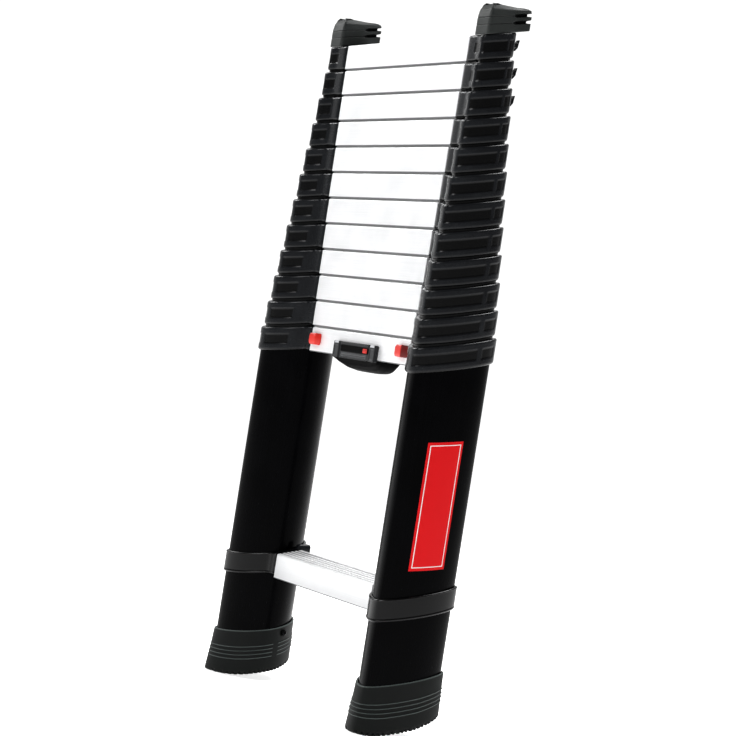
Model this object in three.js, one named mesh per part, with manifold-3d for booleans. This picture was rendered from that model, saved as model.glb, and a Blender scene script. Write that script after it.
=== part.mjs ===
// A telescoping ladder, closed. Twelve pairs of nested tubes carry thirteen rungs: one rung is clamped
// low on the outermost pair and every pair carries one at its top, so the closed ladder is a tight stack.
// Millimetres, +Z up, +X to the climber's right, -Y to the climber's side; the feet stand on Z = 0.
import * as THREE from "three";
import { mergeVertices } from "three/addons/utils/BufferGeometryUtils.js";
import Module from "manifold-3d";

// ---- Driving dimensions ----
const STILE_X = 198.5; // centre of each stile, from the ladder's middle
const STILE_Y = 3.11; // puts the frame's origin in the middle of the ladder's depth
const LEAN = THREE.MathUtils.degToRad(14.4); // rungs and collars tilt so that treads lie level in use
const SLOPE = Math.tan(LEAN);
const GAP = 0.3; // between pieces that touch

const FIRST = 2; // the outermost tube pair carries rung 2
const LAST = 13; // the innermost tube pair carries the top rung
const PITCH = 33.75; // between closed rungs
const STACK_Z = 439.6; // underside of rung 2, on the stile's axis
const RUNG_ONE_TOP = 173.3; // tread of rung 1, on the stile's axis
const STACK_GAP = 1.8; // between one closed rung and the next

const TUBE_LENGTH = 405; // of each sliding tube
const TUBE_WALL = 1.3;
const TUBE_FOOT_Z = 24; // slanted lower end of the outermost tubes, inside the feet

const COLLAR_HEIGHT = 29;
const COLLAR_WALL = 3.8;
const NECK_WALL = 1.4; // narrow spacer under each sliding collar
const BORE_PLAY = 0.5; // between a collar's bore and the next tube
const TUBE_SHOULDER = 4; // of the collar, over the end of its tube
const NOSE = { first: 62, last: 35.5, root: 8, wall: 1.5 }; // from the stile's axis to the rung's end

const RUNG_DEPTH = 35;
const RUNG_WALL = 2;
const RUNG_CHAMFER = 2.2;

const FOOT_TOP = 69.5; // rim of the foot, on the stile's axis
const SIDES = 16; // facets round a stile

// ---- Stile outlines ----
// An outline is kept as its support: how far it reaches from the stile's axis in each of SIDES
// directions. Direction 0 points outwards, a quarter turn on points backwards, half a turn inwards.
const DIRECTIONS = Array.from({ length: SIDES }, (_, i) => (2 * Math.PI * i) / SIDES);

const between = (first, last, level) => first + ((last - first) * (level - FIRST)) / (LAST - FIRST);

// The tube is a rounded triangle: a broad outer side and a narrow inner one that faces the rung.
const tube = (level, grow = 0) =>
  DIRECTIONS.map(
    (a) =>
      between(45.5, 15.6, level) -
      between(4.0, 2.6, level) * Math.cos(2 * a) -
      between(4.3, 0.9, level) * Math.cos(3 * a) +
      grow,
  );

// A box with rounded corners, from x0 to x1 and y0 to y1 about the stile's axis.
const roundedBox = (x0, x1, y0, y1, radius) =>
  DIRECTIONS.map((a) => {
    const reachX = Math.cos(a) > 0 ? x1 - radius : x0 + radius;
    const reachY = Math.sin(a) > 0 ? y1 - radius : y0 + radius;
    return reachX * Math.cos(a) + reachY * Math.sin(a) + radius;
  });

const grown = (outline, grow) => outline.map((reach) => reach + grow);
const collar = (level) => tube(level, COLLAR_WALL);
const nose = (level) => between(NOSE.first, NOSE.last, level);

// ---- Solids ----
// Corners of an outline at height z, which rises towards the back by slope.
const ring = (outline, z, slope = 0) => ({ outline, z, slope });

function ringPoints({ outline, z, slope }, side) {
  return outline.map((reach, i) => {
    const next = (i + 1) % SIDES;
    const [a, b] = [DIRECTIONS[i], DIRECTIONS[i] + (2 * Math.PI) / SIDES];
    const x = (reach * Math.sin(b) - outline[next] * Math.sin(a)) / Math.sin(b - a);
    const y = (outline[next] * Math.cos(a) - reach * Math.cos(b)) / Math.sin(b - a);
    return new THREE.Vector3(side * (STILE_X + x), STILE_Y + y, z + slope * y);
  });
}

// Joins rings, bottom first on the outside, into one closed skin. A hollow skin goes on down the inside
// and meets its first ring again; a filled one is closed at both ends.
function loft(rings, side, hollow = true) {
  const points = rings.flatMap((r) => ringPoints(r, side));
  const faces = [];
  const face = (...corners) => faces.push(side > 0 ? corners : corners.reverse());
  const steps = hollow ? rings.length : rings.length - 1;
  for (let r = 0; r < steps; r += 1) {
    const [low, high] = [r * SIDES, ((r + 1) % rings.length) * SIDES];
    for (let i = 0; i < SIDES; i += 1) {
      const next = (i + 1) % SIDES;
      face(low + i, low + next, high + next);
      face(low + i, high + next, high + i);
    }
  }
  if (!hollow) {
    const top = (rings.length - 1) * SIDES;
    for (let i = 1; i < SIDES - 1; i += 1) {
      face(0, i + 1, i);
      face(top, top + i, top + i + 1);
    }
  }
  const geometry = new THREE.BufferGeometry().setFromPoints(points);
  geometry.setIndex(faces.flat());
  return geometry;
}

const wasm = await Module();
wasm.setup();

function solid(geometry) {
  const bare = geometry.clone();
  bare.deleteAttribute("normal");
  bare.deleteAttribute("uv");
  const merged = mergeVertices(bare, 1e-3);
  const vertProperties = new Float32Array(merged.attributes.position.array);
  const triVerts = new Uint32Array(merged.index.array);
  return new wasm.Manifold(new wasm.Mesh({ numProp: 3, vertProperties, triVerts }));
}

function geometryOf(manifold) {
  const mesh = manifold.getMesh();
  const geometry = new THREE.BufferGeometry();
  geometry.setAttribute("position", new THREE.BufferAttribute(mesh.vertProperties, 3));
  geometry.setIndex(new THREE.BufferAttribute(mesh.triVerts, 1));
  return geometry;
}

const cut = (body, ...tools) =>
  geometryOf(tools.reduce((left, tool) => left.subtract(solid(tool)), solid(body)));
const join = (...bodies) => geometryOf(bodies.map(solid).reduce((a, b) => a.add(b)));

const box = (x0, x1, y0, y1, z0, z1) =>
  new THREE.BoxGeometry(Math.abs(x1 - x0), y1 - y0, z1 - z0).translate(
    (x0 + x1) / 2,
    STILE_Y + (y0 + y1) / 2,
    (z0 + z1) / 2,
  );

const rod = (radius, x0, x1, y, z, sides = 16) =>
  new THREE.CylinderGeometry(radius, radius, Math.abs(x1 - x0), sides)
    .rotateZ(Math.PI / 2)
    .translate((x0 + x1) / 2, STILE_Y + y, z);

// A closed outline in Y and Z, pushed along X from x0 to x1; the tilt lifts its back.
function bar(outline, holes, x0, x1, slope = 0) {
  const shape = new THREE.Shape(outline.map(([y, z]) => new THREE.Vector2(y, z + slope * y)));
  const path = (hole) => new THREE.Path(hole.map(([y, z]) => new THREE.Vector2(y, z + slope * y)));
  shape.holes = holes.map(path);
  const geometry = new THREE.ExtrudeGeometry(shape, { depth: x1 - x0, bevelEnabled: false });
  const axes = new THREE.Matrix4().makeBasis(
    new THREE.Vector3(0, 1, 0),
    new THREE.Vector3(0, 0, 1),
    new THREE.Vector3(1, 0, 0),
  );
  return geometry.applyMatrix4(axes).translate(x0, STILE_Y, 0);
}

const chamfered = (y0, y1, z0, z1, c) => [
  [y0 + c, z0],
  [y1 - c, z0],
  [y1, z0 + c],
  [y1, z1 - c],
  [y1 - c, z1],
  [y0 + c, z1],
  [y0, z1 - c],
  [y0, z0 + c],
];

// ---- Materials and the part's group ----
const material = (color, roughness, metalness) =>
  new THREE.MeshStandardMaterial({ color, roughness, metalness });
const BLACK_TUBE = material(0x0d0e10, 0.42, 0.7);
const BLACK_PLASTIC = material(0x17191b, 0.45, 0);
const BRIGHT_ALUMINIUM = material(0xe9eaec, 0.35, 0.9);
const RUBBER = material(0x232726, 0.75, 0);
const GREY_PLASTIC = material(0x2a2d2e, 0.55, 0);
const RED_PLASTIC = material(0xd8261c, 0.4, 0);
const LABEL_FILM = material(0xe2231a, 0.4, 0);
const STEEL = material(0xb4b6b8, 0.35, 1);

const ladder = new THREE.Group();
function add(name, geometry, look) {
  const mesh = new THREE.Mesh(geometry, look);
  mesh.name = name;
  ladder.add(mesh);
}
const SIDE_NAMES = [
  [-1, "left"],
  [1, "right"],
];

// ---- Levels ----
const topOf = (level) => STACK_Z + PITCH * (level - 1) - STACK_GAP / 2;
const rungHeight = PITCH - STACK_GAP;
const rungEnd = (level) => STILE_X - nose(level) - GAP;

// ---- Rungs: hollow aluminium bars with upright faces and a tilted tread ----
function rungBar(level, top) {
  const [y, low] = [RUNG_DEPTH / 2, top - rungHeight];
  const outer = chamfered(-y, y, low, top, RUNG_CHAMFER);
  const wall = RUNG_WALL;
  const inner = chamfered(-y + wall, y - wall, low + wall, top - wall, RUNG_CHAMFER);
  return bar(outer, [inner], -rungEnd(level), rungEnd(level), SLOPE);
}

// ---- Collar noses: the block on a collar's inner side that holds the end of its rung ----
function withNose(body, level, low, top, side) {
  const reach = RUNG_DEPTH / 2 + NOSE.wall;
  const outline = chamfered(-reach, reach, low, top, NOSE.wall);
  const ends = [side * (STILE_X - nose(level)), side * (STILE_X - NOSE.root)];
  const block = bar(outline, [], Math.min(...ends), Math.max(...ends), SLOPE);
  const hollow = tube(level, 1);
  const room = loft([ring(hollow, low - 50), ring(hollow, top + 50)], side, false);
  return join(body, cut(block, room));
}

// ---- Sliding sections: tube and collar of one stile are joined, the rung is a piece of its own ----
function slidingStile(level, side) {
  const [top, bottom] = [topOf(level), topOf(level) - TUBE_LENGTH];
  const low = top - COLLAR_HEIGHT;
  const neckLow = low - (PITCH - COLLAR_HEIGHT) + GAP;
  const bore = level < LAST ? tube(level + 1, BORE_PLAY) : tube(level, -TUBE_WALL);
  const rings = [
    ring(tube(level), bottom),
    ring(tube(level), neckLow, SLOPE),
    ring(tube(level, NECK_WALL), neckLow, SLOPE),
    ring(tube(level, NECK_WALL), low, SLOPE),
    ring(collar(level), low, SLOPE),
    ring(collar(level), top, SLOPE),
    ring(bore, top, SLOPE),
    ring(tube(level, -TUBE_WALL), top - TUBE_SHOULDER, SLOPE),
    ring(tube(level, -TUBE_WALL), bottom),
  ];
  return withNose(loft(rings, side), level, low, top, side);
}

for (let level = FIRST + 1; level <= LAST; level += 1) {
  for (const [side, name] of SIDE_NAMES) {
    add(`stile_${level}_${name}`, slidingStile(level, side), BLACK_TUBE);
  }
  add(`rung_${level}`, rungBar(level, topOf(level)), BRIGHT_ALUMINIUM);
}

// ---- Outermost tubes ----
const BASE_TOP = topOf(FIRST);
for (const [side, name] of SIDE_NAMES) {
  const tubeTop = BASE_TOP - TUBE_SHOULDER - GAP;
  const rings = [
    ring(tube(FIRST), TUBE_FOOT_Z, SLOPE),
    ring(tube(FIRST), tubeTop, SLOPE),
    ring(tube(FIRST, -TUBE_WALL), tubeTop, SLOPE),
    ring(tube(FIRST, -TUBE_WALL), TUBE_FOOT_Z, SLOPE),
  ];
  add(`outer_tube_${name}`, loft(rings, side), BLACK_TUBE);
}

// ---- Buttons and lock pins: a thumb pad at each end of rung 2 draws a pin out of the collar ----
const BUTTON = { inner: 107, outer: 134.5, low: 445.5, high: 460.5, front: -24.5 };
const BUTTON_TRAVEL = 8;
const BUTTON_PLAY = 0.6; // round the pad, in the rung's front wall
const PIN = { radius: 4, inner: 118, outer: 148, z: 454 };
const BLOCK = { inner: 107, outer: 117.5, front: -14, back: 8 }; // ties the pad to its pin
for (const [side, name] of SIDE_NAMES) {
  const pad = new THREE.Shape([
    new THREE.Vector2(BUTTON.inner, -RUNG_DEPTH / 2 - 1.5),
    new THREE.Vector2(BUTTON.inner + 9, BUTTON.front),
    new THREE.Vector2(BUTTON.outer - 3, BUTTON.front),
    new THREE.Vector2(BUTTON.outer, BUTTON.front + 3),
    new THREE.Vector2(BUTTON.outer, BLOCK.front),
    new THREE.Vector2(BUTTON.inner, BLOCK.front),
  ]);
  const depth = BUTTON.high - BUTTON.low;
  const padSolid = new THREE.ExtrudeGeometry(pad, { depth, bevelEnabled: false });
  padSolid.translate(0, STILE_Y, BUTTON.low);
  const block = box(BLOCK.inner, BLOCK.outer, BLOCK.front - 1, BLOCK.back, BUTTON.low + 2, BUTTON.high - 2);
  const button = join(padSolid, block);
  const pin = rod(PIN.radius, PIN.inner, PIN.outer, 0, PIN.z);
  if (side < 0) {
    for (const piece of [button, pin]) {
      piece.scale(-1, 1, 1);
      piece.index.array.reverse();
    }
  }
  add(`release_button_${name}`, button, RED_PLASTIC);
  add(`lock_pin_${name}`, pin, STEEL);
}

// ---- Rung 2, slotted at each end of its front wall for the buttons ----
const buttonSlot = (side) =>
  box(
    side * (BUTTON.inner - BUTTON_TRAVEL - BUTTON_PLAY),
    side * (BUTTON.outer + BUTTON_PLAY),
    -RUNG_DEPTH / 2 - 1,
    -RUNG_DEPTH / 2 + RUNG_WALL + 1,
    BUTTON.low - BUTTON_PLAY,
    BUTTON.high + BUTTON_PLAY,
  );
add("rung_2", cut(rungBar(FIRST, BASE_TOP), buttonSlot(-1), buttonSlot(1)), BRIGHT_ALUMINIUM);

// ---- Collars of rung 2, over the ends of the outermost tubes ----
for (const [side, name] of SIDE_NAMES) {
  const low = BASE_TOP - COLLAR_HEIGHT;
  const bore = tube(FIRST + 1, BORE_PLAY);
  const rings = [
    ring(collar(FIRST), low, SLOPE),
    ring(collar(FIRST), BASE_TOP, SLOPE),
    ring(bore, BASE_TOP, SLOPE),
    ring(bore, BASE_TOP - TUBE_SHOULDER, SLOPE),
    ring(tube(FIRST, GAP), BASE_TOP - TUBE_SHOULDER, SLOPE),
    ring(tube(FIRST, GAP), low, SLOPE),
  ];
  const pinHole = rod(PIN.radius + GAP, side * (rungEnd(FIRST) - 1), side * (PIN.outer + 1), 0, PIN.z);
  const whole = withNose(loft(rings, side), FIRST, low, BASE_TOP, side);
  add(`top_collar_${name}`, cut(whole, pinHole), BLACK_PLASTIC);
}

// ---- Rung 1 and the clamps that hold it to the outermost tubes ----
const CLAMP = { height: 28 };
const LUG = { inner: 142, outer: 154, front: 15, back: 33, rise: 9 };
add("rung_1", rungBar(FIRST, RUNG_ONE_TOP), BRIGHT_ALUMINIUM);
for (const [side, name] of SIDE_NAMES) {
  const low = RUNG_ONE_TOP - CLAMP.height;
  const rings = [
    ring(collar(FIRST), low, SLOPE),
    ring(collar(FIRST), RUNG_ONE_TOP, SLOPE),
    ring(tube(FIRST, GAP), RUNG_ONE_TOP, SLOPE),
    ring(tube(FIRST, GAP), low, SLOPE),
  ];
  // A lug stands up at the clamp's back inner corner, where its two halves are drawn together.
  const lugHigh = RUNG_ONE_TOP + SLOPE * LUG.back + LUG.rise;
  const lug = box(side * LUG.inner, side * LUG.outer, LUG.front, LUG.back, RUNG_ONE_TOP - 12, lugHigh);
  const clamp = join(withNose(loft(rings, side), FIRST, low, RUNG_ONE_TOP, side), lug);
  const room = loft([ring(tube(FIRST, GAP), 0), ring(tube(FIRST, GAP), 400)], side, false);
  add(`rung_clamp_${name}`, cut(clamp, room), BLACK_PLASTIC);
}

// ---- Feet: flared rubber boots with a curved sole, each held by a screw ----
const FOOT_WALL = 3.2;
const TOE = 8; // how far the boot flares forwards
const SCREW = { direction: 160, below: 8, radius: 4.2, head: 2.6, shank: 1.8 };

// The boot's outline widens by the full amount in front and by a third of it at the sides and back.
const flared = (amount) =>
  tube(FIRST, FOOT_WALL).map((reach, i) => {
    const forwards = Math.max(0, -Math.sin(DIRECTIONS[i]));
    return reach + (amount * (1 + 2 * forwards)) / 3;
  });

// The sole lies in one plane with the treads, so that it is flat on the floor under a leaning ladder,
// and it curves up to the toe and to the heel. Y from the stile's axis, then Z.
const SOLE_FLAT = { front: -28, back: 12, z: 2.2 };
const SOLE = [
  [-90, 13],
  [-75, 8],
  [-58, 2.2],
  [-47, 0],
  [-38, 0.4],
  [SOLE_FLAT.front, SOLE_FLAT.z],
  [SOLE_FLAT.back, SOLE_FLAT.z + SLOPE * (SOLE_FLAT.back - SOLE_FLAT.front)],
  [26, 17.6],
  [42, 24],
  [57, 31.5],
  [90, 52],
];

for (const [side, name] of SIDE_NAMES) {
  const boot = loft(
    [
      ring(flared(TOE), -5),
      ring(flared(TOE), 8),
      ring(flared(2), 44, SLOPE),
      ring(flared(0), FOOT_TOP, SLOPE),
    ],
    side,
    false,
  );
  const snug = tube(FIRST, GAP);
  const socket = loft([ring(snug, TUBE_FOOT_Z - GAP, SLOPE), ring(snug, 200)], side, false);
  const [inner, outer] = [side * (STILE_X - 80), side * (STILE_X + 80)];
  const under = bar([...SOLE, [90, -30], [-90, -30]], [], Math.min(inner, outer), Math.max(inner, outer));
  const turn = THREE.MathUtils.degToRad(SCREW.direction);
  const out = new THREE.Vector3(side * Math.cos(turn), Math.sin(turn), 0);
  const i = Math.round(turn / ((2 * Math.PI) / SIDES));
  const flat = new THREE.Vector3(side * Math.cos(DIRECTIONS[i]), Math.sin(DIRECTIONS[i]), 0);
  const along = (from, to, radius) => {
    const cylinder = new THREE.CylinderGeometry(radius, radius, to - from, 14);
    cylinder.applyQuaternion(new THREE.Quaternion().setFromUnitVectors(new THREE.Vector3(0, 1, 0), flat));
    const middle = flat.clone().multiplyScalar((from + to) / 2);
    const z = FOOT_TOP - SCREW.below + SLOPE * out.y * tube(FIRST)[i];
    return cylinder.translate(side * STILE_X + middle.x, STILE_Y + middle.y, z);
  };
  const skin = tube(FIRST, FOOT_WALL)[i] + 0.7;
  const seat = along(skin - 0.6, skin + 12, SCREW.radius + 0.6);
  const hole = along(tube(FIRST)[i] - 1, skin, SCREW.shank + GAP);
  add(`foot_${name}`, cut(boot, socket, under, seat, hole), RUBBER);
  const head = along(skin - 0.6 + GAP, skin + SCREW.head, SCREW.radius);
  const shank = along(tube(FIRST, 2 * GAP)[i], skin, SCREW.shank);
  add(`foot_screw_${name}`, join(head, shank), STEEL);
}

// ---- Centre grip: a moulded hand grip clipped over the front and under rung 2 ----
const GRIP = { half: 57, front: -23.5, top: 455, belly: 21, back: 14 };
const rungUnder = BASE_TOP - rungHeight - GAP;
const gripOutline = [
  [GRIP.front, GRIP.top - 3],
  [GRIP.front, rungUnder - 8],
  [GRIP.front + 5, rungUnder - 15],
  [-8, rungUnder - GRIP.belly + 1],
  [4, rungUnder - GRIP.belly + 4],
  [GRIP.back, rungUnder - 5],
  [GRIP.back, rungUnder + SLOPE * GRIP.back],
  [-RUNG_DEPTH / 2 + RUNG_CHAMFER, rungUnder - SLOPE * (RUNG_DEPTH / 2 - RUNG_CHAMFER)],
  [-RUNG_DEPTH / 2 - GAP, rungUnder + RUNG_CHAMFER - SLOPE * (RUNG_DEPTH / 2)],
  [-RUNG_DEPTH / 2 - GAP, GRIP.top],
  [GRIP.front + 3, GRIP.top],
];
const BADGE = { half: 42, low: 446, high: 452, thick: 1 };
const badgeRoom = box(
  -BADGE.half - GAP,
  BADGE.half + GAP,
  GRIP.front - 1,
  GRIP.front + BADGE.thick,
  BADGE.low - GAP,
  BADGE.high + GAP,
);
const gripEnds = [-1, 1].map((side) =>
  new THREE.BoxGeometry(30, 60, 40)
    .rotateY(side * 0.75)
    .translate(side * (GRIP.half + 11), STILE_Y, rungUnder - GRIP.belly - 6),
);
add("centre_grip", cut(bar(gripOutline, [], -GRIP.half, GRIP.half), badgeRoom, ...gripEnds), GREY_PLASTIC);
const badgeBack = GRIP.front + BADGE.thick - GAP;
const badge = box(-BADGE.half, BADGE.half, GRIP.front - 0.2, badgeBack, BADGE.low, BADGE.high);
add("grip_badge", badge, BLACK_PLASTIC);

// ---- Top caps: arched rubber bumpers that overhang the back and meet the wall ----
const CAP = { inner: -20, outer: 14, front: -21, back: 36.5, rise: 34 };
const capSlots = [
  [9.5, 13.5],
  [18, 22.5],
];
for (const [side, name] of SIDE_NAMES) {
  const low = topOf(LAST) + GAP;
  const outline = roundedBox(CAP.inner, CAP.outer, CAP.front, CAP.back, 7);
  const cap = loft(
    [
      ring(outline, low, SLOPE),
      ring(outline, low + CAP.rise - 13, SLOPE * 0.9),
      ring(grown(outline, -1.5), low + CAP.rise - 6, SLOPE * 0.6),
      ring(grown(outline, -5), low + CAP.rise - 1.5, SLOPE * 0.25),
      ring(grown(outline, -10), low + CAP.rise, SLOPE * 0.1),
    ],
    side,
    false,
  );
  const slots = capSlots.map(([z0, z1]) => {
    const outside = side * (STILE_X + CAP.outer + 5);
    const inside = side * (STILE_X + CAP.inner - 5);
    return bar(
      [[18, low + z0], [CAP.back + 5, low + z0], [CAP.back + 5, low + z1], [18, low + z1]],
      [],
      Math.min(inside, outside),
      Math.max(inside, outside),
      SLOPE * 0.9,
    );
  });
  add(`top_cap_${name}`, cut(cap, ...slots), RUBBER);
}

// ---- Side label: a plain red film on the right stile's outer side, its ends cut at a slant ----
const LABEL = { front: -25, back: 21, low: 202, high: 355, thick: 0.6, slant: 0.165 };
const labelX = STILE_X + tube(FIRST)[0] + GAP;
const labelOutline = [
  [LABEL.front, LABEL.low],
  [LABEL.back, LABEL.low],
  [LABEL.back, LABEL.high],
  [LABEL.front, LABEL.high],
];
add("side_label", bar(labelOutline, [], labelX, labelX + LABEL.thick, LABEL.slant), LABEL_FILM);

export default ladder;
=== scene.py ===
import math

import bpy
import numpy as np
from mathutils import Matrix


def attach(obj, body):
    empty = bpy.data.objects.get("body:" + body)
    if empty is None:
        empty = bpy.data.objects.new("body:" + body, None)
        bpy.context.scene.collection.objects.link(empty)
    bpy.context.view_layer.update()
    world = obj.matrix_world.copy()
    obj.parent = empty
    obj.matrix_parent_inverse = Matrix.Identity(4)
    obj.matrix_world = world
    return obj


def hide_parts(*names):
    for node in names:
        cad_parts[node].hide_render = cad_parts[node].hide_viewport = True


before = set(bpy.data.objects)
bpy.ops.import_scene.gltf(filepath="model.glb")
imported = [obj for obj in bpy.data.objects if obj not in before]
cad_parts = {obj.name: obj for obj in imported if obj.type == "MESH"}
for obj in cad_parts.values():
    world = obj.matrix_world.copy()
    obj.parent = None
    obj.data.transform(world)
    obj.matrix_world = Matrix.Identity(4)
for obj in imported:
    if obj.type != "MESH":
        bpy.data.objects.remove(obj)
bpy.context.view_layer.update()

# ---- Camera, room light and floor ----
# A long lens stands low, in front and to the ladder's right, rolled by nine degrees. The room is a pale
# studio: a white floor, a white backdrop behind the ladder, dimmer walls elsewhere, and soft lamps in front,
# to the left and above.
CAMERA_AT = (2.9055, -1.4997, 0.4287)
YAW, PITCH, ROLL = np.radians((-62.636, -0.041, -8.977))
LENS, SENSOR = 127.17, 36.0  # mm
CONTRAST = 0.85  # gamma of the view, which deepens the blacks a little

ahead = np.array([np.sin(YAW) * np.cos(PITCH), np.cos(YAW) * np.cos(PITCH), np.sin(PITCH)])
level_right = np.cross(ahead, (0, 0, 1)) / np.linalg.norm(np.cross(ahead, (0, 0, 1)))
level_down = np.cross(ahead, level_right)
right = np.cos(ROLL) * level_right + np.sin(ROLL) * level_down
down = np.cos(ROLL) * level_down - np.sin(ROLL) * level_right

camera_data = bpy.data.cameras.new("camera")
camera_data.lens = LENS
camera_data.sensor_width = SENSOR
camera_data.clip_end = 60.0
camera = bpy.data.objects.new("camera", camera_data)
pose = np.eye(4)
pose[:3, 0], pose[:3, 1], pose[:3, 2], pose[:3, 3] = right, -down, -ahead, CAMERA_AT
camera.matrix_world = Matrix(pose.tolist())
bpy.context.scene.collection.objects.link(camera)
bpy.context.scene.camera = camera
bpy.context.scene.view_settings.view_transform = "Standard"
bpy.context.scene.view_settings.gamma = CONTRAST


def linear(colour):
    """Linear RGBA from an sRGB hex number: ((c + 0.055) / 1.055) ^ 2.4, or c / 12.92 near black."""
    srgb = np.array([(colour >> 16) & 255, (colour >> 8) & 255, colour & 255]) / 255
    light = np.where(srgb > 0.04045, ((srgb + 0.055) / 1.055) ** 2.4, srgb / 12.92)
    return (*light.tolist(), 1.0)


def node(tree, kind, sockets=None, **properties):
    """Adds a node. A socket is given a value, or (node, output) to be linked to."""
    added = tree.nodes.new(kind)
    for name, value in properties.items():
        setattr(added, name, value)
    for key, value in (sockets or {}).items():
        if isinstance(value, tuple) and isinstance(value[0], bpy.types.Node):
            tree.links.new(value[0].outputs[value[1]], added.inputs[key])
        else:
            added.inputs[key].default_value = value
    return added


BACKDROP = (-0.888, 0.46, 0.0)  # the way from the camera to the backdrop
WALL_LIGHT, BACKDROP_LIGHT = 0.14, 1.1
world = bpy.data.worlds.new("studio")
world.use_nodes = True
room = world.node_tree
room.nodes.clear()
direction = node(room, "ShaderNodeTexCoord")
backdrop = node(
    room,
    "ShaderNodeVectorMath",
    {0: (direction, "Generated"), 1: BACKDROP},
    operation="DOT_PRODUCT",
)
strength = node(
    room,
    "ShaderNodeMapRange",
    {
        "Value": (backdrop, "Value"),
        "From Min": 0.3,
        "From Max": 0.85,
        "To Min": WALL_LIGHT,
        "To Max": BACKDROP_LIGHT,
    },
    interpolation_type="SMOOTHSTEP",
)
glow = node(room, "ShaderNodeBackground", {"Color": linear(0xFFFFFF), "Strength": (strength, "Result")})
node(room, "ShaderNodeOutputWorld", {"Surface": (glow, "Background")})
bpy.context.scene.world = world


def lamp(name, at, towards, size, power):
    """A square soft lamp at one point that faces another, in metres and watts."""
    data = bpy.data.lights.new(name, "AREA")
    data.shape = "SQUARE"
    data.size = size
    data.energy = power
    made = bpy.data.objects.new(name, data)
    back = np.array(at, float) - np.array(towards, float)
    back /= np.linalg.norm(back)
    across = np.cross((0, 0, 1), back)
    across /= np.linalg.norm(across)
    turn = np.eye(4)
    turn[:3, 0], turn[:3, 1], turn[:3, 2], turn[:3, 3] = across, np.cross(back, across), back, at
    made.matrix_world = Matrix(turn.tolist())
    bpy.context.scene.collection.objects.link(made)


lamp("front_lamp", (0.3, -2.6, 2.4), (0, 0, 0.7), 1.4, 42.0)
lamp("side_lamp", (-2.7, -1.4, 2.1), (0, 0, 0.9), 0.8, 26.0)
lamp("top_lamp", (0.0, 1.4, 3.0), (0, 0, 0.5), 1.6, 85.0)

FLOOR_REACH = 24.0
floor_corners = [(x * FLOOR_REACH, y * FLOOR_REACH, 0) for x, y in ((-1, -1), (1, -1), (1, 1), (-1, 1))]
floor_mesh = bpy.data.meshes.new("floor")
floor_mesh.from_pydata(floor_corners, [], [(0, 1, 2, 3)])
floor = bpy.data.objects.new("floor", floor_mesh)
bpy.context.scene.collection.objects.link(floor)
# Matt white paint that also glows, so that the floor comes near the white of the backdrop.
paint = bpy.data.materials.new("matt_white_paint")
paint.use_nodes = True
paint_shader = paint.node_tree.nodes["Principled BSDF"]
paint_shader.inputs["Base Color"].default_value = linear(0xF7F7F7)
paint_shader.inputs["Roughness"].default_value = 0.9
paint_shader.inputs["Specular IOR Level"].default_value = 0.1
paint_shader.inputs["Emission Color"].default_value = linear(0xFFFFFF)
paint_shader.inputs["Emission Strength"].default_value = 0.8
floor_mesh.materials.append(paint)

# ---- Outermost tubes ----
# Each stile's outermost tube is an extruded aluminium profile, a rounded triangle with its broad side
# outwards, black anodised. It stands in the foot and ends inside the collar of rung 2.
SIDES = ((-1, "left"), (1, "right"))
STILE_X, STILE_Y = 198.5, 3.11
SLOPE = math.tan(math.radians(14.4))
FIRST, LAST, PITCH_Z = 2, 13, 33.75
TUBE_WALL = 1.3
EGG = {"r": (45.5, 15.6), "p": (4.0, 2.6), "q": (4.3, 0.9)}  # mm, of the outermost and the innermost tube


def between(first, last, level):
    """A measure that changes evenly from the outermost tube to the innermost."""
    return first + (last - first) * (level - FIRST) / (LAST - FIRST)


def egg_at(a, level, grow=0.0):
    """The point of a stile's outline whose normal points in direction a, x outwards and y back from the axis:
    h n + h' t, where n is direction a, t is square to it and h(a) = r - p cos 2a - q cos 3a + grow."""
    r, p, q = (between(*EGG[term], level) for term in "rpq")
    reach = r - p * np.cos(2 * a) - q * np.cos(3 * a) + grow
    swing = 2 * p * np.sin(2 * a) + 3 * q * np.sin(3 * a)
    return np.stack([reach * np.cos(a) - swing * np.sin(a), reach * np.sin(a) + swing * np.cos(a)], -1)


def egg(level, grow=0.0, count=144):
    """A stile's whole outline, with normals at even angles."""
    return egg_at(np.linspace(0.0, 2 * math.pi, count, endpoint=False), level, grow)


def on_stile(outline, z, side, slope=SLOPE):
    """An outline about a stile's axis as points: x is mirrored by side, and z rises to the back by slope."""
    x, y = outline[..., 0], outline[..., 1]
    return np.stack([side * (STILE_X + x), STILE_Y + y, z + slope * y + 0 * x], -1)


CREASE = 32.0  # degrees between faces from which an edge is drawn sharp


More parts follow.
